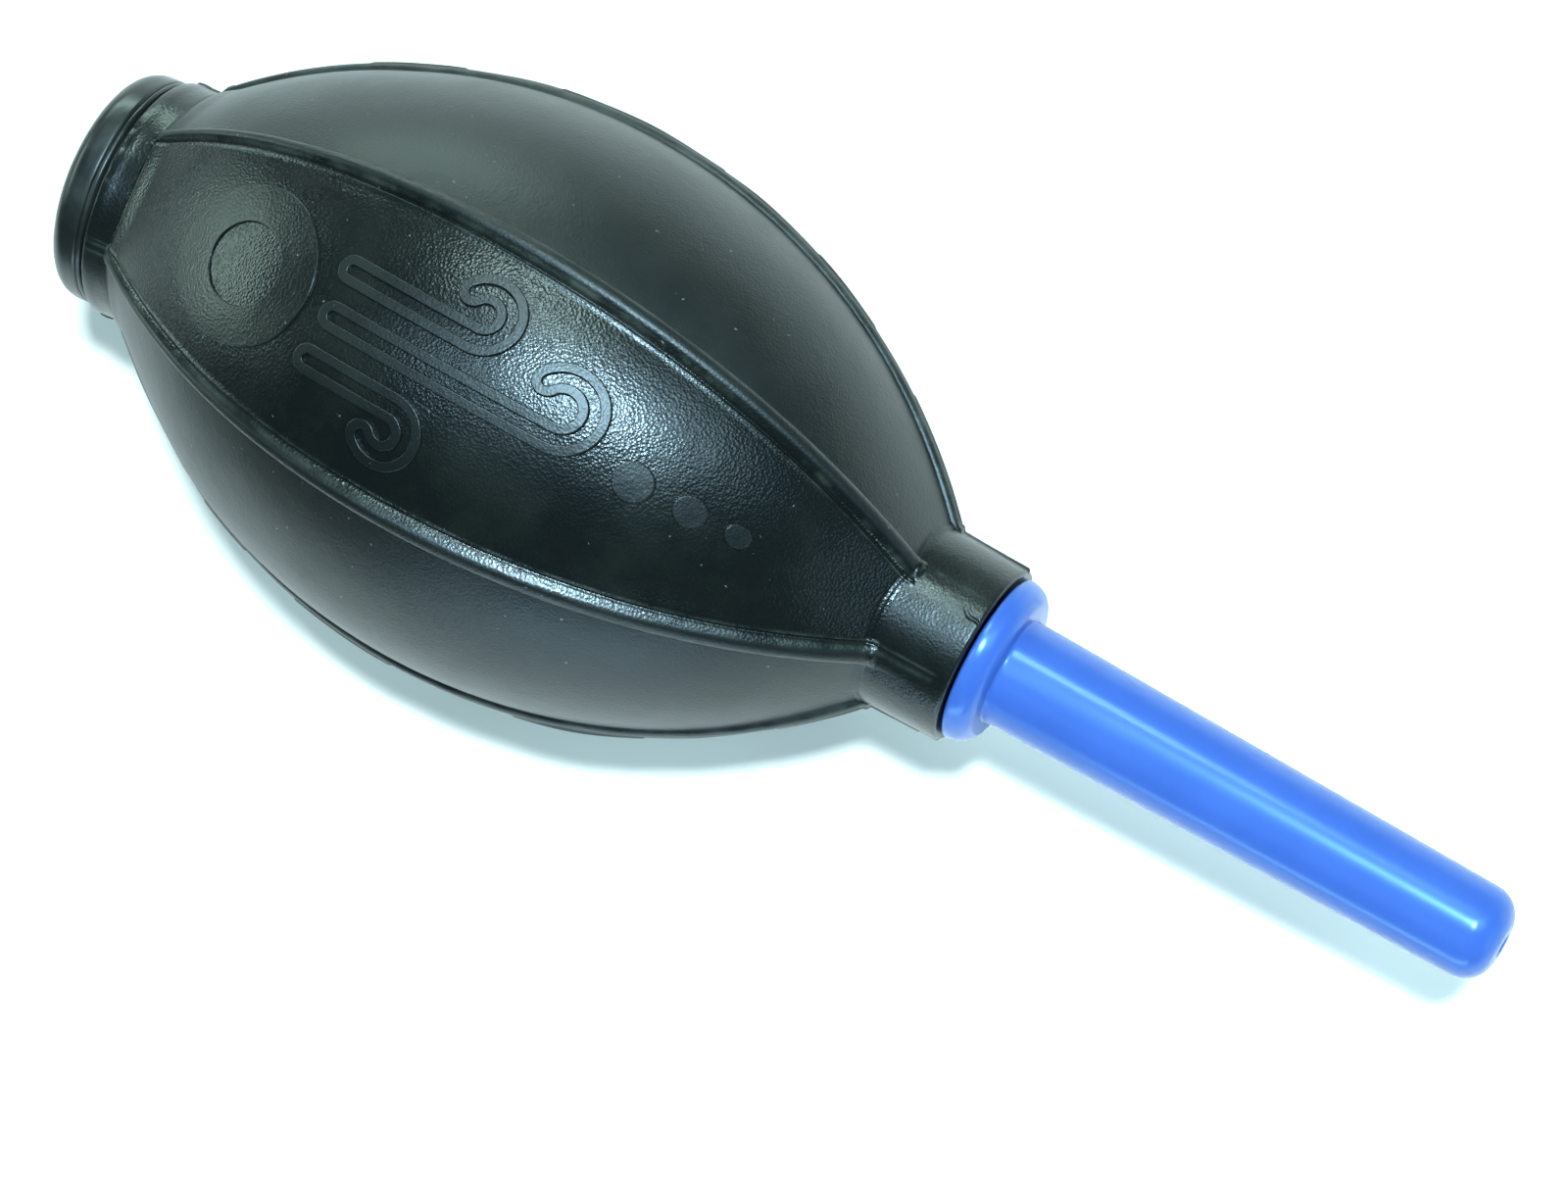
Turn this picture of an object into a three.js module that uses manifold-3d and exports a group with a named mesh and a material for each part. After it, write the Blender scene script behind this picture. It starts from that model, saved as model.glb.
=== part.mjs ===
// Dust blower bulb: a hand-squeezed rubber bulb with six raised ribs, a plastic
// nozzle plugged into its front neck, and a one-way air valve plugged into its
// rear neck.
//
// Millimetres.  The blower's axis is X, with the nozzle towards +X.  +Z is square
// to the panel that the thumb presses, between two ribs.  Stations along the axis
// are counted from the bulb's widest ring.  At the end everything is moved so that
// the origin lies on the axis at the middle of the overall length.
import * as THREE from "three";
import { mergeVertices } from "three/addons/utils/BufferGeometryUtils.js";
import Module from "manifold-3d";

const wasm = await Module();
wasm.setup();

// ---------------------------------------------------------------- dimensions

const gap = 0.3; // air between neighbouring pieces
const turns = 48; // facets round the axis, a multiple of the ribs

// Bulb: its lengthwise outline is one long arc, the same to the front and the rear.
const bulbRadius = 28.9; // over the ribs
const sideArc = 60.8;
const wall = 2.5;
const ribCount = 6;
const ribHeight = 0.75;
const ribWidth = 2.2;
const ribStep = 0.5; // how far a rib's blunt end stands off its neck

// Necks of the bulb.
const rearNeck = { radius: 12.2, end: -44, bore: 9.2 };
const frontNeck = { radius: 9.25, mouthRadius: 9.05, end: 52.2, bore: 6.2 };
const neckRounding = 0.7;

// Thumb wall: the oval of the upper panel that gives way under the thumb.
const thumb = { halfLength: 27, halfWidth: 11, below: 12 };

// Nozzle: shank and barb inside the bulb, flange on the mouth, then the long tube.
const nozzle = {
  shankEnd: 39.2,
  shankRadius: 5.9,
  barbStation: 42.3,
  barbRadius: 6.7,
  flangeRadius: 8.4,
  flangeFront: 55.1,
  tubeRadius: 5.35,
  tip: 107.5,
  tipRadius: 4.65,
  tipRounding: 3,
  outletRadius: 1.1,
  inletRadius: 3.4,
};

// Rear valve: a capped cup that holds a loose silicone disc behind a spoked cage.
const rearFace = -48.4;
const cap = {
  radius: 11.8,
  front: rearNeck.end - gap,
  rounding: 1.4,
  dishRadius: 7.2,
  dishDepth: 0.8,
  inletRadius: 2,
  shankEnd: -36.6,
  shankRadius: 8.9,
  barbStation: -38.4,
  barbRadius: 9.8,
  pocketRadius: 6.6,
  pocketFloor: -45.3,
  seatHeight: 0.4,
  seatRadius: 3.2,
};
const valveDisc = { radius: 5.4, thickness: 0.8, lift: 1.2 };
const cage = { length: 3, ringWall: 1.3, spokeWidth: 1.2, spokeDepth: 1.2, hubRadius: 1.5, spokes: 4 };

// ------------------------------------------------------------------- helpers

/** A point of an outline: station along the axis, then radius. */
const at = (station, radius) => new THREE.Vector2(station, radius);

/** Points of a circular arc in an outline, angles in degrees from +X. */
function arc(station, radius, size, from, to, steps) {
  const degrees = THREE.MathUtils.degToRad;
  const curve = new THREE.EllipseCurve(station, radius, size, size, degrees(from), degrees(to), to < from);
  return curve.getPoints(steps);
}

/** Evenly spaced points of the curve radiusAt(station). */
function along(radiusAt, from, to, steps) {
  const stations = Array.from({ length: steps + 1 }, (_, i) => THREE.MathUtils.lerp(from, to, i / steps));
  return stations.map((station) => at(station, radiusAt(station)));
}

/** The solid that a closed outline sweeps round the axis.  The outline's upper side runs from -X to +X. */
function turned(outline) {
  const closed = [...outline, outline[0]];
  const spun = closed.map((point) => new THREE.Vector2(point.y, point.x));
  return new THREE.LatheGeometry(spun, turns).rotateZ(-Math.PI / 2);
}

/** A three.js geometry as a manifold solid. */
function solid(geometry) {
  const bare = geometry.clone();
  bare.deleteAttribute("normal");
  bare.deleteAttribute("uv");
  const merged = mergeVertices(bare, 1e-4);
  const mesh = new wasm.Mesh({
    numProp: 3,
    vertProperties: new Float32Array(merged.attributes.position.array),
    triVerts: new Uint32Array(merged.index.array),
  });
  mesh.merge();
  return new wasm.Manifold(mesh);
}

/** A manifold solid back as a three.js geometry. */
function geometryOf(body) {
  const mesh = body.getMesh();
  const geometry = new THREE.BufferGeometry();
  geometry.setAttribute("position", new THREE.BufferAttribute(mesh.vertProperties, 3));
  geometry.setIndex(new THREE.BufferAttribute(mesh.triVerts, 1));
  geometry.computeVertexNormals();
  return geometry;
}

// ------------------------------------------------------------------ the bulb

/** Radius over the ribs at a station. */
const overRibs = (station) => Math.sqrt(sideArc ** 2 - station ** 2) - (sideArc - bulbRadius);

/** Outer radius of the panels between the ribs. */
const panelRadius = (station) => overRibs(station) - ribHeight;

/** Radius of the cavity, one wall inside the panels. */
const cavityRadius = (station) =>
  Math.sqrt((sideArc - wall) ** 2 - station ** 2) - (sideArc - bulbRadius) - ribHeight;

/** Distance from the widest ring at which an arc of the given size comes down to a radius. */
const reaches = (size, radius) => Math.sqrt(size ** 2 - (radius + ribHeight + sideArc - bulbRadius) ** 2);

/** The hollow bulb without its ribs, open at both necks. */
function bulbShell() {
  const rearRoot = -reaches(sideArc, rearNeck.radius);
  const frontRoot = reaches(sideArc, frontNeck.radius);
  const rearBoreEnd = -reaches(sideArc - wall, rearNeck.bore);
  const frontBoreEnd = reaches(sideArc - wall, frontNeck.bore);
  const rearCorner = [rearNeck.end + neckRounding, rearNeck.radius - neckRounding];
  const frontCorner = [frontNeck.end - neckRounding, frontNeck.mouthRadius - neckRounding];
  return turned([
    at(rearNeck.end, rearNeck.bore),
    ...arc(...rearCorner, neckRounding, 180, 90, 3),
    ...along(panelRadius, rearRoot, frontRoot, 20),
    ...arc(...frontCorner, neckRounding, 90, 0, 3),
    at(frontNeck.end, frontNeck.bore),
    ...along(cavityRadius, frontBoreEnd, rearBoreEnd, 10),
  ]);
}

/** All the ribs: a thin turned skin cut by slabs through the axis, one slab for two opposite ribs. */
function ribs() {
  const rearEnd = -reaches(sideArc, rearNeck.radius) - 1.4;
  const frontEnd = reaches(sideArc, frontNeck.radius) + 1;
  const top = (station) => {
    const neckRadius = station < 0 ? rearNeck.radius : frontNeck.radius;
    return Math.max(overRibs(station), neckRadius + ribStep);
  };
  const underside = (station) => top(station) - ribHeight - 0.8;
  const skin = solid(turned([...along(top, rearEnd, frontEnd, 24), ...along(underside, frontEnd, rearEnd, 8)]));
  const slabs = Array.from({ length: ribCount / 2 }, (_, i) => {
    const slab = new THREE.BoxGeometry(4 * sideArc, 4 * bulbRadius, ribWidth);
    return solid(slab.rotateX((i * 2 * Math.PI) / ribCount));
  });
  return slabs.map((slab) => skin.intersect(slab)).reduce((all, pair) => all.add(pair));
}

/** An upright oval post over the thumb wall, grown by a margin all round. */
function thumbPost(margin) {
  const oval = new THREE.Shape();
  oval.absellipse(0, 0, thumb.halfLength + margin, thumb.halfWidth + margin, 0, 2 * Math.PI);
  const post = new THREE.ExtrudeGeometry(oval, { depth: 2 * bulbRadius, bevelEnabled: false, curveSegments: 20 });
  return solid(post.translate(0, 0, thumb.below));
}

// --------------------------------------------------------------- the nozzle

/** Nozzle with its flange, barbed shank and through bore. */
function nozzleGeometry() {
  const n = nozzle;
  const flangeBack = frontNeck.end + gap;
  const rim = (n.flangeFront - flangeBack) / 2;
  const roundingStart = n.tip - n.tipRounding;
  return turned([
    at(n.shankEnd, n.inletRadius),
    at(n.shankEnd, n.shankRadius - 0.4),
    at(n.barbStation, n.barbRadius),
    at(n.barbStation, n.shankRadius),
    at(flangeBack, n.shankRadius),
    ...arc(flangeBack + rim, n.flangeRadius - rim, rim, 180, 0, 10),
    at(n.flangeFront - 0.2, n.tubeRadius + 0.5),
    at(n.flangeFront, n.tubeRadius),
    at(roundingStart, n.tipRadius),
    ...arc(roundingStart, n.tipRadius - n.tipRounding, n.tipRounding, 90, 0, 6).slice(1),
    at(n.tip, n.outletRadius),
  ]);
}

// ------------------------------------------------------------ the rear valve

/** Cap with its rounded rim, dished face and barbed cup. */
function capGeometry() {
  const c = cap;
  const frontRounding = 0.6;
  return turned([
    at(rearFace + c.dishDepth, c.inletRadius),
    at(rearFace + c.dishDepth, c.dishRadius - 0.5),
    at(rearFace, c.dishRadius),
    ...arc(rearFace + c.rounding, c.radius - c.rounding, c.rounding, 180, 90, 4),
    ...arc(c.front - frontRounding, c.radius - frontRounding, frontRounding, 90, 0, 3),
    at(c.front, c.shankRadius),
    at(c.barbStation - 0.4, c.shankRadius),
    at(c.barbStation, c.barbRadius),
    at(c.shankEnd, c.shankRadius - 0.3),
    at(c.shankEnd, c.pocketRadius),
    at(c.pocketFloor, c.pocketRadius),
    at(c.pocketFloor, c.seatRadius),
    at(c.pocketFloor + c.seatHeight, c.seatRadius),
    at(c.pocketFloor + c.seatHeight, c.inletRadius),
  ]);
}

/** The disc's two faces at rest, just clear of the seat. */
const discBack = cap.pocketFloor + cap.seatHeight + gap;
const discFront = discBack + valveDisc.thickness;

/** Loose disc that shuts the inlet when the bulb is squeezed. */
function discGeometry() {
  const disc = new THREE.CylinderGeometry(valveDisc.radius, valveDisc.radius, valveDisc.thickness, turns);
  return disc.rotateZ(-Math.PI / 2).translate((discBack + discFront) / 2, 0, 0);
}

/** Cage that stops the disc after its lift: a ring with spokes and a hub. */
function cageGeometry() {
  const back = discFront + valveDisc.lift + gap;
  const outer = cap.pocketRadius - gap;
  const inner = outer - cage.ringWall;
  const ring = solid(
    turned([at(back, inner), at(back, outer), at(back + cage.length, outer), at(back + cage.length, inner)]),
  );
  const middle = back + cage.spokeDepth / 2;
  const hub = new THREE.CylinderGeometry(cage.hubRadius, cage.hubRadius, cage.spokeDepth, 24);
  const bars = Array.from({ length: cage.spokes / 2 }, (_, i) => {
    const bar = new THREE.BoxGeometry(cage.spokeDepth, 2 * inner + cage.ringWall, cage.spokeWidth);
    return solid(bar.rotateX((i * 2 * Math.PI) / cage.spokes).translate(middle, 0, 0));
  });
  const centre = solid(hub.rotateZ(-Math.PI / 2).translate(middle, 0, 0));
  return geometryOf(bars.reduce((all, bar) => all.add(bar), ring.add(centre)));
}

// ----------------------------------------------------------------- materials

const rubber = new THREE.MeshStandardMaterial({ color: "#2b302f", roughness: 0.48, metalness: 0 });
const bluePlastic = new THREE.MeshStandardMaterial({ color: "#2a6be6", roughness: 0.18, metalness: 0 });
const blackPlastic = new THREE.MeshStandardMaterial({ color: "#1c2021", roughness: 0.38, metalness: 0 });
const nylon = new THREE.MeshStandardMaterial({ color: "#d9d8d0", roughness: 0.45, metalness: 0 });
const silicone = new THREE.MeshStandardMaterial({ color: "#b9c3c4", roughness: 0.35, metalness: 0 });

// ------------------------------------------------------------------ assembly

/** A named piece of the blower. */
function piece(name, geometry, material) {
  const mesh = new THREE.Mesh(geometry, material);
  mesh.name = name;
  return mesh;
}

const rubberBulb = solid(bulbShell()).add(ribs());
const blower = new THREE.Group();
blower.add(
  piece("bulb_body", geometryOf(rubberBulb.subtract(thumbPost(gap))), rubber),
  piece("thumb_wall", geometryOf(rubberBulb.intersect(thumbPost(0))), rubber),
  piece("nozzle", nozzleGeometry(), bluePlastic),
  piece("valve_cap", capGeometry(), blackPlastic),
  piece("valve_cage", cageGeometry(), nylon),
  piece("valve_disc", discGeometry(), silicone),
);
blower.position.x = -(rearFace + nozzle.tip) / 2;

const group = new THREE.Group();
group.add(blower);

export default group;
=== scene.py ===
"""Looks of the dust blower bulb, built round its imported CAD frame.

Shapes are worked out in millimetres.  A station is a distance along the blower's
axis from the bulb's widest ring, positive towards the nozzle.  Angles round the
axis are counted from +Y towards +Z, so the six ribs lie at multiples of 60 degrees
and the panel under the thumb is centred on 90 degrees.
"""

import math

import bpy
import numpy as np
from mathutils import Matrix, Vector


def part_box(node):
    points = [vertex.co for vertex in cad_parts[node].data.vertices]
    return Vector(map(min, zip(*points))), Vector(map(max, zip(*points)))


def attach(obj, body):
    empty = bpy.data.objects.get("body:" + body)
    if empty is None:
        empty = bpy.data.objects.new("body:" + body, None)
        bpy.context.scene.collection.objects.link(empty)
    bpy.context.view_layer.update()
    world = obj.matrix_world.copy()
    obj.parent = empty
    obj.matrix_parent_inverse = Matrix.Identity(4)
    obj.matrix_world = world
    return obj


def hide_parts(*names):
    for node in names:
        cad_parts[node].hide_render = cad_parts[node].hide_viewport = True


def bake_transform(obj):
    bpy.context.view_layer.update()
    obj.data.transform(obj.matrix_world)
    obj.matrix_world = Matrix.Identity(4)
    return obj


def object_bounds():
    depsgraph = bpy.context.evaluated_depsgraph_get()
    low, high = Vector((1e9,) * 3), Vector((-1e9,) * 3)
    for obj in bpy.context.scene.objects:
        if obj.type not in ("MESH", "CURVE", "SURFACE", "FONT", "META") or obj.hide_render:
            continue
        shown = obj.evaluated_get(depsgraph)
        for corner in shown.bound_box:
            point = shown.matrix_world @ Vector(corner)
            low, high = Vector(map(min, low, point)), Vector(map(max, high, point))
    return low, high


MM = 0.001

# ------------------------------------------------------------ sizes from the frame

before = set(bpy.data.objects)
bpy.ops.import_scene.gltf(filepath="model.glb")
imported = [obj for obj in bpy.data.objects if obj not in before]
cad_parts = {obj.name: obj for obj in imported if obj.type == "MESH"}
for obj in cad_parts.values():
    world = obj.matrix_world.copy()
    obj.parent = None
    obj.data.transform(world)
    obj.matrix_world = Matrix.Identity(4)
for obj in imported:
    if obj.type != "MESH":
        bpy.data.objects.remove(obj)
cad_low, cad_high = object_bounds()


def stations(node):
    """First and last station of a CAD node."""
    low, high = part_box(node)
    return low.x / MM - WIDEST, high.x / MM - WIDEST


def outer_radius(node):
    """Largest radius of a turned CAD node."""
    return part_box(node)[1].y / MM


thumb_low, thumb_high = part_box("thumb_wall")
WIDEST = (thumb_low.x + thumb_high.x) / 2 / MM  # where the widest ring lies in the frame

BULB_RADIUS = outer_radius("bulb_body")  # over the ribs
REAR_END, MOUTH = stations("bulb_body")
SHANK_END, TIP = stations("nozzle")
REAR_FACE, CUP_END = stations("valve_cap")
FLANGE_RADIUS = outer_radius("nozzle")
CAP_RADIUS = outer_radius("valve_cap")

# ------------------------------------------------------------------ sizes of the bulb

SIDE_ARC = 60.8  # radius of the lengthwise outline
WALL = 2.5
RIB_COUNT = 6
RIB_PITCH = 2 * math.pi / RIB_COUNT
RIB_HEIGHT = 0.75
RIB_STEP = 0.45  # how far a rib's blunt end stands off its neck
REAR_NECK, REAR_BORE = 12.2, 9.2
FRONT_NECK, MOUTH_NECK, FRONT_BORE = 9.25, 9.05, 6.2
GAP = 0.3  # between the necks and the pieces seated on them

# ------------------------------------------------------------------------- curves


def smoothstep(low, high, value):
    """0 below low, 1 above high, smooth between."""
    t = np.clip((value - low) / (high - low), 0, 1)
    return t * t * (3 - 2 * t)


def bell(value, centre, width):
    """1 at the centre, falling off within about a width."""
    return np.exp(-(((value - centre) / width) ** 2))


def soft_max(a, b, blend):
    """The larger of two values, rounded over where they cross."""
    return (a + b + np.sqrt((a - b) ** 2 + blend**2)) / 2


def spaced(low, high, step):
    """Evenly spaced values from low up to, but not including, high."""
    return np.linspace(low, high, max(1, round((high - low) / step)), endpoint=False)


def ripple(seed, size, *coordinates):
    """Gentle unevenness between about -1 and 1: a few fixed waves of about the given size in mm."""
    random = np.random.default_rng(seed)
    total = 0.0
    waves = 7
    for _ in range(waves):
        direction = random.normal(size=len(coordinates))
        direction /= np.linalg.norm(direction)
        length = size * random.uniform(0.7, 1.6)
        travel = sum(c * d for c, d in zip(coordinates, direction, strict=True))
        total = total + np.sin(2 * math.pi * (travel / length + random.random()))
    return total / math.sqrt(waves)


# ------------------------------------------------------------------------- meshes


def torus_mesh(name, *grids):
    """A closed mesh of quads from grids of points in mm that each wrap round in both directions."""
    first = 0
    quads = []
    for points in grids:
        rows, columns = points.shape[:2]
        index = first + np.arange(rows * columns).reshape(rows, columns)
        down = np.roll(index, -1, axis=0)
        corners = np.stack([index, down, np.roll(down, -1, axis=1), np.roll(index, -1, axis=1)], axis=-1)
        quads.append(corners.reshape(-1, 4))
        first += rows * columns
    points = np.concatenate([points.reshape(-1, 3) for points in grids])
    return mesh_object(name, points, np.concatenate(quads))


def mesh_object(name, points, faces):
    """A smooth-shaded object from points in mm round the widest ring, and its faces."""
    mesh = bpy.data.meshes.new(name)
    placed = (points + np.array([WIDEST, 0, 0])) * MM
    mesh.from_pydata(placed.tolist(), [], faces.tolist())
    mesh.polygons.foreach_set("use_smooth", [True] * len(mesh.polygons))
    mesh.update()
    piece = bpy.data.objects.new(name, mesh)
    bpy.context.scene.collection.objects.link(piece)
    return piece


def turned(name, outline, segments=128, reshape=None):
    """A closed solid of revolution.  The outline, (station, radius) pairs, closes on itself."""
    outline = np.array(outline, float)
    angle = np.linspace(0, 2 * math.pi, segments, endpoint=False)
    x = np.repeat(outline[:, :1], segments, axis=1)
    y = outline[:, 1:] * np.cos(angle)
    z = outline[:, 1:] * np.sin(angle)
    points = np.stack([x, y, z], axis=-1)
    return torus_mesh(name, points if reshape is None else reshape(points, outline))


def arc(station, radius, size, start, end, steps=8, length=None):
    """Points of a circular arc in an outline, or of an ellipse if a length is given.

    Angles are in degrees from +X.
    """
    angles = np.radians(np.linspace(start, end, steps + 1))
    length = size if length is None else length
    return [(station + length * math.cos(a), radius + size * math.sin(a)) for a in angles]


def line(start, end, step=1.0):
    """Points of a straight stretch of an outline, without its end."""
    count = max(1, round(math.dist(start, end) / step))
    return [tuple(np.array(start) + (np.array(end) - start) * i / count) for i in range(count)]


# ----------------------------------------------------------------------- the bulb


def over_ribs(station):
    """Radius of the outline over the ribs."""
    return np.sqrt(SIDE_ARC**2 - station**2) - (SIDE_ARC - BULB_RADIUS)


def cavity_radius(station):
    """Radius of the hollow inside the bulb."""
    return np.sqrt((SIDE_ARC - WALL) ** 2 - station**2) - (SIDE_ARC - BULB_RADIUS) - RIB_HEIGHT


def reaches(size, radius):
    """Station at which an arc of the given size comes down to a radius."""
    return math.sqrt(size**2 - (radius + RIB_HEIGHT + SIDE_ARC - BULB_RADIUS) ** 2)


REAR_ROOT = -reaches(SIDE_ARC, REAR_NECK)
FRONT_ROOT = reaches(SIDE_ARC, FRONT_NECK)
NECK_ROUNDING = 0.35
RIB_HALF_WIDTH = 1.12
RIB_REAR_SHARE = 0.56  # the ribs narrow to this share of their width at the rear neck
RIB_FIELD = 2.0  # half width of the strip of fine mesh along a rib
GROOVE, HAIRLINE = 1.35, 1.7  # from a rib's middle to the groove and the raised line beside it
PARTING_RIBS = (0, 3)
THUMB_RIBS = (1, 2)


def neck_radius(station):
    """Outer radius of the necks, which the panels run into."""
    rear = REAR_NECK + 0.07 * bell(station, REAR_END + 0.9, 0.5)
    taper = (station - FRONT_ROOT) / (MOUTH - FRONT_ROOT)
    front = FRONT_NECK + (MOUTH_NECK - FRONT_NECK) * np.clip(taper, 0, 1)
    return np.where(station < 0, rear, front)


def rounded_ends(station):
    """How far the outer surface draws in where the necks round over at their mouths."""
    inward = NECK_ROUNDING - np.minimum(station - REAR_END, MOUTH - station)
    inward = np.clip(inward, 0, NECK_ROUNDING)
    return NECK_ROUNDING - np.sqrt(NECK_ROUNDING**2 - inward**2)


def rib_narrowing(station):
    """Share of its full width that a rib has at a station."""
    return RIB_REAR_SHARE + (1 - RIB_REAR_SHARE) * smoothstep(REAR_ROOT, 8, station)


def across_rib(station, angle):
    """The nearest rib's number, and the distance across it in mm of a full-width rib."""
    rib = np.round(angle / RIB_PITCH)
    across = (angle - rib * RIB_PITCH) * over_ribs(np.clip(station, REAR_ROOT, FRONT_ROOT))
    return np.mod(rib, RIB_COUNT), across / rib_narrowing(station)


def past_insert_rib(rib, across):
    """Distance in mm from the middle of a rib beside the thumb panel, positive towards the panel."""
    return np.where(rib == THUMB_RIBS[0], across, -across)


def panels_and_necks(station, angle, neck):
    """Radius of the six panels, run into the necks."""
    # Near the necks the panels are flatter than round, with their corners at the ribs.
    from_middle = np.mod(angle, RIB_PITCH) - RIB_PITCH / 2
    flat = 1 - math.cos(RIB_PITCH / 2) / np.cos(from_middle)
    share = 0.36 * bell(station, REAR_ROOT, 15) + 0.55 * bell(station, FRONT_ROOT, 9)
    panel = (over_ribs(station) - RIB_HEIGHT) * (1 - share * flat)

    # The panels end in a crisp lip on the rear neck, and at the front neck's own lip.
    rear_lip, front_lip = 0.32, 0.13
    above_neck = panel - neck
    lip = np.where(station < 0, rear_lip, 0) * smoothstep(-0.12, 0.06, above_neck)
    lip = lip * (1 - smoothstep(0.1, 1.6, above_neck))
    lip = lip + np.where(station > 0, front_lip, 0) * bell(above_neck, -0.05, 0.16)
    return soft_max(panel, neck, 0.2) + lip


def rib_crown(rib, across):
    """Share of its height that a rib has across it.

    The ribs are round-topped, and the two beside the thumb panel slope down to it.
    """
    round_top = np.clip(1 - np.abs(across / RIB_HALF_WIDTH) ** 3, 0, 1) ** 0.6
    slope_foot, slope_width = 1.25, 1.0
    beside = past_insert_rib(rib, across)
    slope = np.clip((slope_foot - beside) / slope_width, 0, 1)
    return np.where(np.isin(rib, THUMB_RIBS) & (beside > 0), slope, round_top)


def flash(station, rib, across):
    """Height of the fine flash along the parting plane, uneven as it was trimmed."""
    trim = 0.13 + 0.06 * ripple(3, 9, station, 40 * rib) + 0.05 * np.sign(ripple(4, 16, station, 40 * rib))
    return np.where(np.isin(rib, PARTING_RIBS), trim * bell(across, 0, 0.14), 0)


def insert_edge(rib, across):
    """Groove and raised hairline that the mould's insert for the thumb panel left beside its two ribs."""
    beside = past_insert_rib(rib, across)
    edge = 0.13 * bell(beside, HAIRLINE, 0.13) - 0.17 * bell(beside, GROOVE, 0.16)
    return np.where(np.isin(rib, THUMB_RIBS) & (beside > 0), edge, 0)


def tear(station, angle):
    """Depth of a short tear that runs into the front neck's mouth."""
    depth, half_width, length = 0.2, 0.13, 2.6
    round_neck = (angle - math.pi / 2) * 9
    path = 8 * math.radians(-20) + 0.45 * (station - MOUTH) + 0.2 * np.sin(3 * station)
    return depth * bell(round_neck, path, half_width) * smoothstep(MOUTH - length, MOUTH - 0.8, station)


def ragged_rim(station, angle):
    """Unevenness of the rear neck's rim on one side, where it meets the cap."""
    ragged = ripple(6, 1.3, 12 * angle, station) * bell(station, REAR_END + 0.2, 0.4)
    return 0.12 * ragged * bell(angle, math.radians(66), 0.35)


def bulb_surface(station, angle):
    """Outer radius of the rubber bulb."""
    rib, across = across_rib(station, angle)
    neck = neck_radius(station)
    radius = panels_and_necks(station, angle, neck)

    # The ribs' blunt ends stand on the necks.
    rear_end, front_end, end_length = REAR_ROOT - 0.4, FRONT_ROOT + 0.9, 0.4
    ends = smoothstep(rear_end, rear_end + end_length, station)
    ends = ends * (1 - smoothstep(front_end - end_length, front_end, station))
    top = np.maximum(over_ribs(station), neck + RIB_STEP)
    radius = radius + (top - radius) * rib_crown(rib, across) * ends

    radius = radius + flash(station, rib, across) + insert_edge(rib, across) * ends
    radius = radius - tear(station, angle) + ragged_rim(station, angle)
    return radius - rounded_ends(station)


def rib_offsets(rib):
    """Distances in mm across a rib at which the mesh has columns."""
    crown = RIB_HALF_WIDTH * np.sin(np.linspace(-math.pi / 2, math.pi / 2, 13))
    offsets = [*crown, -RIB_FIELD, -1.3, 1.3, RIB_FIELD]
    if rib in PARTING_RIBS:
        offsets += [-0.13, 0.13]
    if rib in THUMB_RIBS:
        side = 1 if rib == THUMB_RIBS[0] else -1
        offsets += [side * distance for distance in (1.2, GROOVE + 0.02, 1.48, 1.6, HAIRLINE, 1.8)]
    return np.sort(offsets)


def bulb_columns(station):
    """Angles of the mesh columns for each ring: close together over the ribs and the thumb panel."""
    station = np.clip(station, REAR_ROOT, FRONT_ROOT)[:, None]
    angle_per_mm = rib_narrowing(station) / over_ribs(station)
    columns = []
    for rib in range(RIB_COUNT):
        columns.append(rib * RIB_PITCH + rib_offsets(rib) * angle_per_mm)
        between = 60 if rib == THUMB_RIBS[0] else 16
        share = np.arange(1, between) / between
        edge = RIB_FIELD * angle_per_mm
        columns.append(rib * RIB_PITCH + edge + share * (RIB_PITCH - 2 * edge))
    return np.concatenate(columns, axis=1)


def bulb_grid():
    """Station, angle and radius over the whole bulb: the outside from rear to front, then back inside."""
    rounding = NECK_ROUNDING * (1 - np.cos(np.linspace(0, math.pi / 2, 7)))
    outer = np.concatenate(
        [
            REAR_END + rounding[:-1],
            spaced(REAR_END + NECK_ROUNDING, REAR_ROOT - 1.6, 0.35),
            spaced(REAR_ROOT - 1.6, REAR_ROOT + 1.5, 0.13),
            spaced(REAR_ROOT + 1.5, FRONT_ROOT - 2, 0.36),
            spaced(FRONT_ROOT - 2, FRONT_ROOT + 1.2, 0.14),
            spaced(FRONT_ROOT + 1.2, MOUTH - 2.8, 0.5),
            spaced(MOUTH - 2.8, MOUTH - NECK_ROUNDING, 0.2),
            MOUTH - rounding[::-1],
        ]
    )
    angle = bulb_columns(outer)
    station = np.repeat(outer[:, None], angle.shape[1], axis=1)
    radius = bulb_surface(station, angle)

    front_bore_end = reaches(SIDE_ARC - WALL, FRONT_BORE)
    rear_bore_end = -reaches(SIDE_ARC - WALL, REAR_BORE)
    inner = np.concatenate([[MOUTH], np.linspace(front_bore_end, rear_bore_end, 20), [REAR_END]])
    inner_radius = np.concatenate([[FRONT_BORE], cavity_radius(inner[1:-1]), [REAR_BORE]])
    inner_angle = bulb_columns(inner)

    station = np.concatenate([station, np.repeat(inner[:, None], angle.shape[1], axis=1)])
    radius = np.concatenate([radius, np.repeat(inner_radius[:, None], angle.shape[1], axis=1)])
    return station, np.concatenate([angle, inner_angle]), radius


def on_axis(station, angle, radius):
    """Points in mm from stations, angles and radii."""
    return np.stack([station, radius * np.cos(angle), radius * np.sin(angle)], axis=-1)


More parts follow.
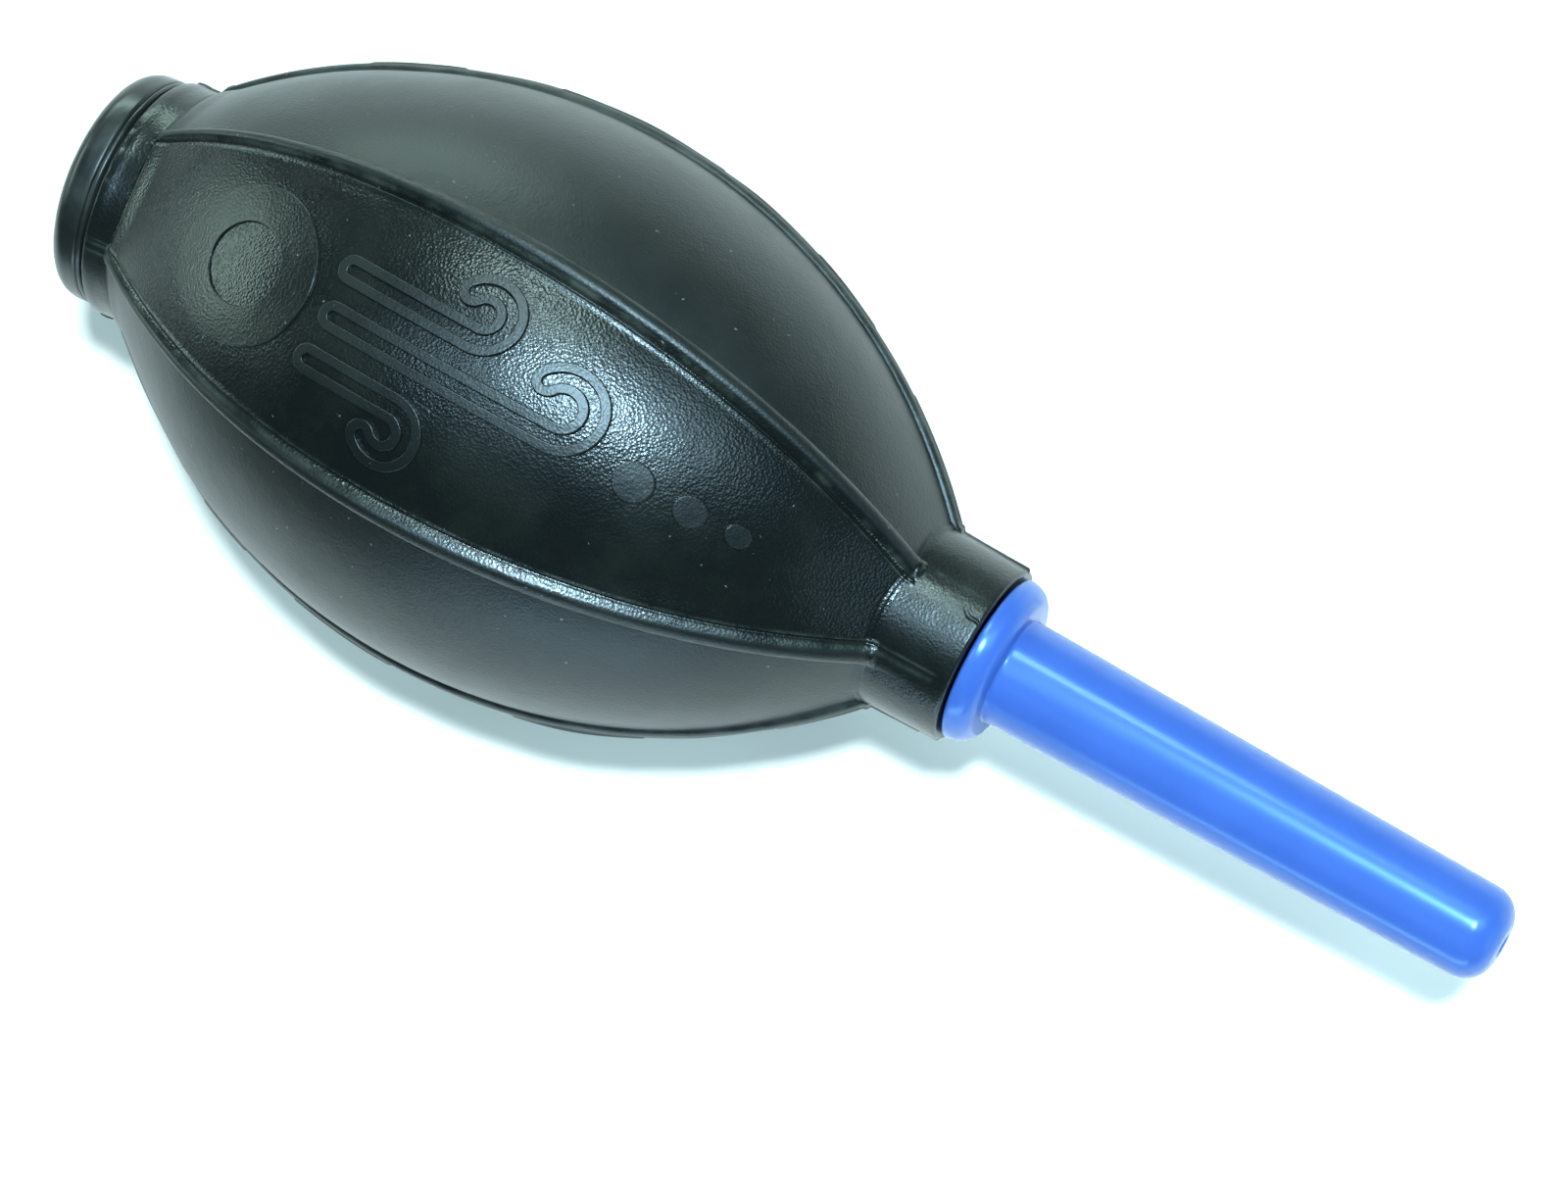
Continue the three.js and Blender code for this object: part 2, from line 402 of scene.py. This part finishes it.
def stream_fan(start, end, height, curl, turn):
    """Points along one stream of air, and the way to its outline from each, once round the stream.

    The stream is a straight run that ends in a curl of the given radius, which turns to +1 or -1.
    """
    run = np.linspace(start, end, 16, endpoint=False)
    sweep = np.radians(np.linspace(-90, 145, 36))
    along = np.concatenate([run, end + curl * np.cos(sweep)])
    over = np.concatenate([np.full(len(run), height), height + turn * curl * (1 + np.sin(sweep))])
    heading = np.concatenate([np.zeros(len(run)), turn * (sweep + math.pi / 2)])
    half_turn = np.linspace(0, math.pi, 14)[1:-1]
    tail, head = np.full(len(half_turn), 0), np.full(len(half_turn), -1)
    stops = np.concatenate([np.arange(len(along)), head, np.arange(len(along))[::-1], tail])
    left, right = heading + math.pi / 2, heading - math.pi / 2
    ways = np.concatenate([left, left[-1] - half_turn, right[::-1], right[0] - half_turn])
    return along[stops], over[stops], ways


def dot_fan(station):
    """The middle of a round feature, and the ways outwards from it."""
    ways = np.linspace(0, -2 * math.pi, 72, endpoint=False)
    return np.full(len(ways), station), np.zeros(len(ways)), ways


def raised(fan, inner, outer, height):
    """A flat-topped strip on the thumb panel, between two distances from the middle of a fan."""
    side = [(-0.08, -0.3), (0, height - 0.07), (0.05, height), (0.12, height)]
    steepness = min(1, inner / 0.1)
    section = [(inner + d * steepness, h) for d, h in side] + [(outer - d, h) for d, h in side[::-1]]
    distance, height = np.array(section).T
    along, over, ways = fan
    station = along[:, None] + distance * np.cos(ways)[:, None]
    across = over[:, None] + distance * np.sin(ways)[:, None]
    angle = math.pi / 2 + across / over_ribs(station)
    return station, angle, bulb_surface(station, angle) + height


def airflow_mark():
    """Strips of a plain airflow mark, each with its polish.

    The mark is a ring, three outlined streams of air and three dots.
    """
    streams = [(-11.5, 2, -4.7, 2.5, -1), (-11.0, 12.5, 0, 2.9, -1), (-11.5, -1.5, 4.7, 2.4, 1)]
    dots = [(21, 1.9), (26.4, 1.5), (30.8, 1.1)]
    strips = [(raised(dot_fan(-22.5), 4.2, 8.2, 0.22), 0.8)]
    strips += [(raised(stream_fan(*stream), 0.5, 1.5, 0.36), 0.3) for stream in streams]
    strips += [(raised(dot_fan(station), 0.02, size, 0.36), 0.3) for station, size in dots]
    return strips


def polish(station, angle):
    """1 on the thumb panel and the slopes to it, less on the necks and 0 on the duller rest."""
    rib, across = across_rib(station, angle)
    beside = past_insert_rib(rib, across)
    on_panel = np.isin(rib, THUMB_RIBS) * smoothstep(0.35, 0.65, beside)
    on_neck = (station < REAR_ROOT) | (station > FRONT_ROOT)
    return np.where(on_neck, 0.75, on_panel)


def wear_and_glint(station, angle):
    """1 along the shoulders of the ribs and the hairline, where the rubber's colour is painted paler: partly
    worn rubber and partly a painted glint.
    """
    rib, across = across_rib(station, angle)
    beside = past_insert_rib(rib, across)
    shoulder = bell(np.abs(across), 0.85, 0.28)
    # The hairline's paler colour is a painted glint.
    hairline = bell(beside, HAIRLINE, 0.12) * np.isin(rib, THUMB_RIBS)
    return np.maximum(shoulder, hairline)


def rear_end_bent(points, share):
    """Bends the soft rear end a little towards -Y, as far as the share given for each point."""
    start, shift_per_square, forward = -25, 0.0022, 0.1
    past = np.clip(start - points[..., 0], 0, None)
    bent = points.copy()
    bent[..., 0] += share * points[..., 1] * -2 * shift_per_square * past
    bent[..., 0] += share * forward * smoothstep(0, 15, past)
    bent[..., 1] -= share * shift_per_square * past**2
    return bent


def make_bulb():
    """The one-piece rubber bulb, in place of the hidden bulb body and thumb wall."""
    grids, looks = [], {"polish": [], "wear_and_glint": []}
    station, angle, radius = bulb_grid()
    outside = smoothstep(REAR_BORE, REAR_NECK - 1, radius)
    grids.append(rear_end_bent(on_axis(station, angle, radius), outside))
    looks["polish"].append(polish(station, angle))
    looks["wear_and_glint"].append(wear_and_glint(station, angle))
    for strip, gloss in airflow_mark():
        grids.append(on_axis(*strip))
        looks["polish"].append(np.full(strip[0].shape, gloss))
        looks["wear_and_glint"].append(np.zeros(strip[0].shape))
    bulb = torus_mesh("rubber_bulb", *grids)
    for name, values in looks.items():
        layer = bulb.data.attributes.new(name, "FLOAT", "POINT")
        layer.data.foreach_set("value", np.concatenate([v.ravel() for v in values]).astype(np.float32))
    bulb.data.materials.append(rubber())
    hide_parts("bulb_body", "thumb_wall")
    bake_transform(bulb)
    set_dent(bulb)


def set_dent(bulb):
    """Reads the positions of the bulb's points, and leaves the bulb as it is."""
    points = np.empty(len(bulb.data.vertices) * 3)
    bulb.data.vertices.foreach_get("co", points)


# --------------------------------------------------------------------- the nozzle

TUBE_RADIUS, TIP_RADIUS, TIP_ROUNDING = 5.35, 4.65, 3.0
OUTLET_RADIUS, INLET_RADIUS = 1.1, 3.4


def make_nozzle():
    """Blue nozzle: barbed shank, full-round flange, tapering tube and rounded tip."""
    shank_radius, barb_radius, barb_station = 5.9, 6.7, SHANK_END + 3.1
    flange_back = MOUTH + 0.08
    flange_front = MOUTH + GAP + 2.6
    crown = flange_back + 0.45
    rim = 1.9
    crease = 0.25
    rounding_start = TIP - TIP_ROUNDING
    lip = 0.25
    outline = [
        *line((SHANK_END, INLET_RADIUS), (SHANK_END, shank_radius - 0.4)),
        *line((SHANK_END, shank_radius - 0.4), (barb_station - 0.15, barb_radius)),
        *arc(barb_station - 0.15, barb_radius - 0.15, 0.15, 90, 0, 4),
        *line((barb_station, shank_radius), (flange_back, shank_radius)),
        *line((flange_back, shank_radius), (flange_back, FLANGE_RADIUS - 1), 0.8),
        *arc(crown, FLANGE_RADIUS - 1, 1, 180, 90, 8, crown - flange_back),
        *arc(crown, FLANGE_RADIUS - rim, rim, 90, 8, 14, flange_front - crown)[1:],
        *arc(flange_front + crease, TUBE_RADIUS + crease, crease, 180, 270, 5),
        *line((flange_front + 2 * crease, TUBE_RADIUS), (rounding_start, TIP_RADIUS), 0.8),
        *arc(rounding_start, TIP_RADIUS - TIP_ROUNDING, TIP_ROUNDING, 90, 4, 14),
        (TIP, OUTLET_RADIUS + lip),
        *arc(TIP - lip, OUTLET_RADIUS + lip, lip, 0, -90, 4)[1:],
        *line((TIP - 2, OUTLET_RADIUS), (SHANK_END + 0.5, INLET_RADIUS - 0.3), 6),
        (SHANK_END + 0.1, INLET_RADIUS - 0.2),
    ]
    nozzle = turned("blue_nozzle", outline)
    nozzle.data.materials.append(blue_plastic())
    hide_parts("nozzle")
    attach(nozzle, "nozzle")


# ------------------------------------------------------------------ the rear valve


def make_cap():
    """Black cap with a rounded rim, a thin ridge by the seam, a dished face and a barbed cup."""
    front = REAR_END - 0.1
    rounding, dish_radius, dish_depth, inlet_radius = 2.0, 7.2, 0.8, 2.0
    shank_radius, barb_radius, barb_station = 8.9, 9.8, CUP_END - 1.8
    pocket_radius, pocket_floor, seat_radius, seat_height = 6.6, REAR_FACE + 3.1, 3.2, 0.4
    seat = pocket_floor + seat_height
    floor = REAR_FACE + dish_depth
    ridge = 0.3
    outline = [
        *line((floor, inlet_radius + 0.2), (floor, dish_radius - 0.6)),
        *line((floor, dish_radius - 0.6), (REAR_FACE + 0.15, dish_radius - 0.1), 0.2),
        *line((REAR_FACE, dish_radius + 0.1), (REAR_FACE, CAP_RADIUS - rounding), 0.6),
        *arc(REAR_FACE + rounding, CAP_RADIUS - rounding, rounding, 180, 90, 12),
        *line((REAR_FACE + rounding, CAP_RADIUS), (front - 4 * ridge, CAP_RADIUS), 0.4)[1:],
        *arc(front - 4 * ridge, CAP_RADIUS - ridge, ridge, 90, 0, 5),
        *arc(front - 2 * ridge, CAP_RADIUS - ridge, ridge, 180, 0, 8),
        *line((front, CAP_RADIUS - 2 * ridge), (front, shank_radius), 0.6),
        *line((front, shank_radius), (barb_station - 0.4, shank_radius), 1),
        *line((barb_station - 0.4, shank_radius), (barb_station, barb_radius), 0.4),
        *line((barb_station, barb_radius), (CUP_END, shank_radius - 0.3), 0.6),
        *line((CUP_END, shank_radius - 0.3), (CUP_END, pocket_radius), 0.6),
        *line((CUP_END, pocket_radius), (pocket_floor, pocket_radius), 1.5),
        *line((pocket_floor, pocket_radius), (pocket_floor, seat_radius), 1),
        *line((pocket_floor, seat_radius), (seat, seat_radius - 0.1), 0.4),
        *line((seat, seat_radius - 0.3), (seat, inlet_radius), 0.6),
        *line((seat, inlet_radius), (floor + 0.2, inlet_radius), 1),
    ]

    def bent(points, outline):
        """The cap's rim follows the bent rubber, and its cup stays straight."""
        rim_share = smoothstep(shank_radius, shank_radius + 2, outline[:, 1]) * (outline[:, 0] < front + 0.01)
        return rear_end_bent(points, rim_share[:, None])

    cap = turned("rear_cap", outline, reshape=bent)
    cap.data.materials.append(black_plastic())
    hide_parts("valve_cap")
    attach(cap, "bulb")


# ---------------------------------------------------------------------- materials


class Shader:
    """A node material, built up one node at a time."""

    def __init__(self, name):
        self.material = bpy.data.materials.new(name)
        self.material.use_nodes = True
        self.nodes = self.material.node_tree.nodes
        self.links = self.material.node_tree.links
        self.surface = self.nodes["Principled BSDF"]
        self.place = self.add("ShaderNodeTexCoord").outputs["Object"]

    def add(self, kind, **inputs):
        """A node whose inputs are set from values or linked from sockets; _ in a name stands for a space."""
        node = self.nodes.new(kind)
        for name, value in inputs.items():
            self.set(node, name.replace("_", " "), value)
        return node

    def set(self, node, name, value):
        socket = node.inputs[name]
        if isinstance(value, bpy.types.NodeSocket):
            self.links.new(value, socket)
        else:
            socket.default_value = value

    def noise(self, size_mm, detail=2.0, roughness=0.5):
        """Noise whose features are about size_mm across, 0 to 1 with its middle at 0.5."""
        node = self.add("ShaderNodeTexNoise", Scale=1000 / size_mm, Detail=detail, Roughness=roughness)
        self.links.new(self.place, node.inputs["Vector"])
        return node.outputs["Fac"]

    def pebbles(self, size_mm):
        """Distance to the nearest pebble's middle, over the pebbles' size."""
        node = self.add("ShaderNodeTexVoronoi", Scale=1000 / size_mm)
        self.links.new(self.place, node.inputs["Vector"])
        return node.outputs["Distance"]

    def ramp(self, value, low, high, to_low=0.0, to_high=1.0):
        """Maps low..high to to_low..to_high, held at both ends."""
        node = self.add("ShaderNodeMapRange", Value=value)
        for name, given in (("From Min", low), ("From Max", high), ("To Min", to_low), ("To Max", to_high)):
            self.set(node, name, given)
        return node.outputs["Result"]

    def attribute(self, name):
        """A value stored on the mesh's points."""
        node = self.nodes.new("ShaderNodeAttribute")
        node.attribute_name = name
        return node.outputs["Fac"]

    def combine(self, operation, first, second):
        """A sum, product or other combination of two values."""
        node = self.nodes.new("ShaderNodeMath")
        node.operation = operation
        self.set(node, 0, first)
        self.set(node, 1, second)
        return node.outputs["Value"]

    def times(self, first, second):
        return self.combine("MULTIPLY", first, second)

    def plus(self, first, second):
        return self.combine("ADD", first, second)

    def mix(self, share, first, second):
        """A colour between two colours."""
        node = self.nodes.new("ShaderNodeMix")
        node.data_type = "RGBA"
        for socket, given in zip((node.inputs[0], node.inputs[6], node.inputs[7]), (share, first, second)):
            if isinstance(given, bpy.types.NodeSocket):
                self.links.new(given, socket)
            else:
                socket.default_value = given
        return node.outputs[2]

    def bump(self, height, depth_mm, under=None):
        """A bump of the given depth over an earlier one."""
        node = self.add("ShaderNodeBump", Strength=1.0, Distance=depth_mm * MM, Height=height)
        if under is not None:
            self.links.new(under, node.inputs["Normal"])
        return node.outputs["Normal"]

    def finish(self, **inputs):
        for name, value in inputs.items():
            self.set(self.surface, name.replace("_", " "), value)
        return self.material


def rubber():
    """Satin black rubber, grained, scuffed and dusty, paler on the edges and glossier under the thumb. The
    paler edges are partly worn rubber and partly a painted glint.
    """
    shader = Shader("moulded_rubber")
    glossy = shader.attribute("polish")
    scuff = shader.ramp(shader.noise(11, 5, 0.6), 0.46, 0.70)
    dust = shader.ramp(shader.noise(0.6, 1, 0.5), 0.77, 0.82)
    # Paler colour along the rib shoulders and hairline: partly worn rubber, partly a painted glint.
    rubbed_and_glint = shader.times(shader.attribute("wear_and_glint"), shader.ramp(shader.noise(4, 3, 0.6), 0.42, 0.66))
    colour = shader.mix(scuff, (0.0030, 0.0045, 0.0048, 1), (0.0058, 0.0076, 0.0070, 1))
    colour = shader.mix(rubbed_and_glint, colour, (0.030, 0.037, 0.034, 1))
    colour = shader.mix(dust, colour, (0.10, 0.12, 0.11, 1))
    roughness = shader.ramp(glossy, 0, 1, 0.42, 0.26)
    roughness = shader.plus(roughness, shader.ramp(scuff, 0, 1, 0, 0.06))
    grain = shader.ramp(glossy, 0.8, 1, 0.6, 1)
    normal = shader.bump(shader.times(grain, shader.pebbles(0.28)), 0.03)
    normal = shader.bump(shader.noise(2.6, 3, 0.55), 0.04, normal)
    normal = shader.bump(shader.noise(15, 2, 0.5), 0.12, normal)
    return shader.finish(Base_Color=colour, Roughness=roughness, Normal=normal, Specular_IOR_Level=0.56)


def blue_plastic():
    """Glossy blue plastic, lit a little from within."""
    shader = Shader("blue_plastic")
    waves = shader.noise(6, 2, 0.5)
    colour = shader.mix(shader.ramp(waves, 0.3, 0.7), (0.040, 0.098, 0.40, 1), (0.044, 0.106, 0.43, 1))
    normal = shader.bump(waves, 0.02)
    return shader.finish(
        Base_Color=colour,
        Roughness=0.27,
        Normal=normal,
        Subsurface_Weight=0.25,
        Subsurface_Radius=(0.2, 0.6, 1.0),
        Subsurface_Scale=0.003,
        Specular_Tint=(0.5, 0.93, 1.0, 1),
        Coat_Weight=0.1,
        Coat_Roughness=0.12,
    )


def black_plastic():
    """Satin black plastic with a faint moulded grain."""
    shader = Shader("black_plastic")
    grain = shader.noise(0.5, 2, 0.5)
    scuff = shader.ramp(shader.noise(5, 4, 0.6), 0.45, 0.7)
    colour = shader.mix(scuff, (0.008, 0.0095, 0.010, 1), (0.015, 0.018, 0.018, 1))
    roughness = shader.ramp(scuff, 0, 1, 0.28, 0.42)
    return shader.finish(Base_Color=colour, Roughness=roughness, Normal=shader.bump(grain, 0.012))


def nylon():
    """Natural nylon of the valve's cage."""
    shader = Shader("natural_nylon")
    cloud = shader.noise(2.5, 3, 0.5)
    colour = shader.mix(cloud, (0.60, 0.58, 0.50, 1), (0.72, 0.70, 0.63, 1))
    return shader.finish(Base_Color=colour, Roughness=0.42, Subsurface_Weight=0.2, Subsurface_Scale=0.001)


def silicone():
    """Milky silicone of the valve's disc."""
    shader = Shader("milky_silicone")
    cloud = shader.noise(1.8, 2, 0.5)
    colour = shader.mix(cloud, (0.48, 0.53, 0.54, 1), (0.58, 0.62, 0.62, 1))
    return shader.finish(Base_Color=colour, Roughness=0.35, Subsurface_Weight=0.3, Subsurface_Scale=0.001)


def keep_cad_node(node, material):
    """A CAD node that stays as it is, with a finished material."""
    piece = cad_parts[node]
    piece.data.materials.clear()
    piece.data.materials.append(material)


# --------------------------------------------------------------- stage, in metres

# A painted pool of light on the floor: its colour darkens to grey away from this centre, standing in for
# light falling off.
PAINTED_POOL_CENTRE = (-0.03, -0.06, 0)
PAINTED_POOL_RADIUS, PAINTED_FALLOFF_RADIUS = 0.13, 0.30  # the floor is pale within the first, and painted grey beyond the second, a painted falloff of light
LIGHT_DISTANCE = 1.2
FLOOR_HALF = 3.0


def floor_painted_falloff():
    """Matt floor, pale round and before the bulb and painted greyer far from it: a painted pool of light."""
    shader = Shader("floor_painted_falloff")
    distance = shader.add("ShaderNodeVectorMath")
    distance.operation = "DISTANCE"
    distance.inputs[1].default_value = PAINTED_POOL_CENTRE
    shader.links.new(shader.place, distance.inputs[0])
    # Painted falloff of light: pale near the centre, grey far from it.
    far = shader.ramp(distance.outputs["Value"], PAINTED_POOL_RADIUS, PAINTED_FALLOFF_RADIUS)
    colour = shader.mix(far, (0.93, 0.85, 0.85, 1), (0.26, 0.25, 0.24, 1))
    return shader.finish(Base_Color=colour, Roughness=0.8)


def make_floor():
    """Pale seamless floor at the bulb's underside."""
    half = FLOOR_HALF
    low = cad_low.z - 0.0002
    mesh = bpy.data.meshes.new("floor")
    corners = [(-half, -half, low), (half, -half, low), (half, half, low), (-half, half, low)]
    mesh.from_pydata(corners, [], [(0, 1, 2, 3)])
    floor = bpy.data.objects.new("floor", mesh)
    bpy.context.scene.collection.objects.link(floor)
    mesh.materials.append(floor_painted_falloff())


def softbox(name, azimuth, elevation, size, radiance, colour=(0.70, 1.0, 0.98), kind="plain"):
    """A rectangular light, width by height in metres, that looks at the bulb.

    A "gloss" light shows only as a highlight, and a "matt" one only lights matt surfaces.
    """
    data = bpy.data.lights.new(name, "AREA")
    data.shape = "RECTANGLE"
    data.size, data.size_y = size
    data.energy = radiance * math.pi * size[0] * size[1]
    data.color = colour
    light = bpy.data.objects.new(name, data)
    light.visible_glossy = kind != "matt"
    light.visible_diffuse = kind != "gloss"
    raised_by = Matrix.Rotation(math.radians(-elevation), 3, "Y")
    turned_by = Matrix.Rotation(math.radians(azimuth), 3, "Z")
    direction = turned_by @ raised_by @ Vector((1, 0, 0))
    light.location = Vector((WIDEST * MM, 0, 0)) + direction * LIGHT_DISTANCE
    light.rotation_mode = "QUATERNION"
    light.rotation_quaternion = direction.to_track_quat("Z", "Y")
    bpy.context.scene.collection.objects.link(light)


def make_world():
    """A dim ceiling over a brighter horizon."""
    world = bpy.data.worlds.new("studio")
    bpy.context.scene.world = world
    world.use_nodes = True
    nodes, links = world.node_tree.nodes, world.node_tree.links
    parts = nodes.new("ShaderNodeSeparateXYZ")
    strength = nodes.new("ShaderNodeMapRange")
    strength.interpolation_type = "SMOOTHSTEP"
    for name, given in (("From Min", 0.08), ("From Max", 0.45), ("To Min", 0.08), ("To Max", 0.04)):
        strength.inputs[name].default_value = given
    background = nodes["Background"]
    background.inputs["Color"].default_value = (0.74, 0.96, 1.0, 1)
    links.new(nodes.new("ShaderNodeTexCoord").outputs["Generated"], parts.inputs[0])
    links.new(parts.outputs["Z"], strength.inputs["Value"])
    links.new(strength.outputs["Result"], background.inputs["Strength"])


def make_lights():
    """Lights round the bulb, with azimuths counted from +X towards +Y."""
    bluish = (0.52, 0.82, 1.0)
    greenish = (0.70, 1.0, 0.90)
    white = (0.78, 1.0, 1.0)
    skylight = (0.6, 0.95, 1.0)
    softbox("key", 45, 73, (0.08, 0.08), 1000, white, "matt")
    softbox("fill", 270, 60, (0.8, 0.6), 6, skylight, "matt")
    softbox("far fill", 42, 46, (0.7, 0.4), 10, skylight, "matt")
    softbox("flash", 58, 72, (0.22, 0.14), 220, bluish, "gloss")
    softbox("top", 178, 78, (0.3, 0.06), 30, bluish, "gloss")
    softbox("overhead", 106, 50, (0.26, 0.22), 26, kind="gloss")
    softbox("window", 42, 52, (0.5, 0.3), 5, bluish, "gloss")
    softbox("behind", 184, 17, (0.75, 0.25), 7, greenish, "gloss")
    softbox("side", 127, 7, (0.7, 0.2), 12, greenish)
    softbox("end", 0, 6, (0.7, 0.25), 2, bluish)
    softbox("low front", 285, 4, (0.9, 0.2), 8, bluish)


def make_camera():
    """Camera at the photograph's viewing angle: above the bulb, a little towards the nozzle."""
    lean, roll, turn = math.radians(14), math.radians(4.7), math.radians(29.35)
    distance, focal_length, sensor = 0.466, 112.5, 36
    about_x = Matrix.Rotation(-roll, 3, "X")
    back = about_x @ Vector((math.sin(lean), 0, math.cos(lean)))
    along = Vector((math.cos(lean), 0, -math.sin(lean)))
    right = about_x @ (along * math.cos(turn) + Vector((0, math.sin(turn), 0)))
    up = back.cross(right)
    data = bpy.data.cameras.new("camera")
    data.sensor_width = sensor
    data.lens = focal_length
    data.clip_end = 20
    camera = bpy.data.objects.new("camera", data)
    target = Vector(((WIDEST + 32.2) * MM, -4.1 * MM, 0))
    pose = Matrix((right, up, back)).transposed().to_4x4()
    pose.translation = target + back * distance
    camera.matrix_world = pose
    bpy.context.scene.collection.objects.link(camera)
    bpy.context.scene.camera = camera


# --------------------------------------------------------------------------- build

make_bulb()
make_nozzle()
make_cap()
keep_cad_node("valve_cage", nylon())
keep_cad_node("valve_disc", silicone())
make_floor()
make_world()
make_lights()
make_camera()
bpy.context.scene.view_settings.view_transform = "Standard"
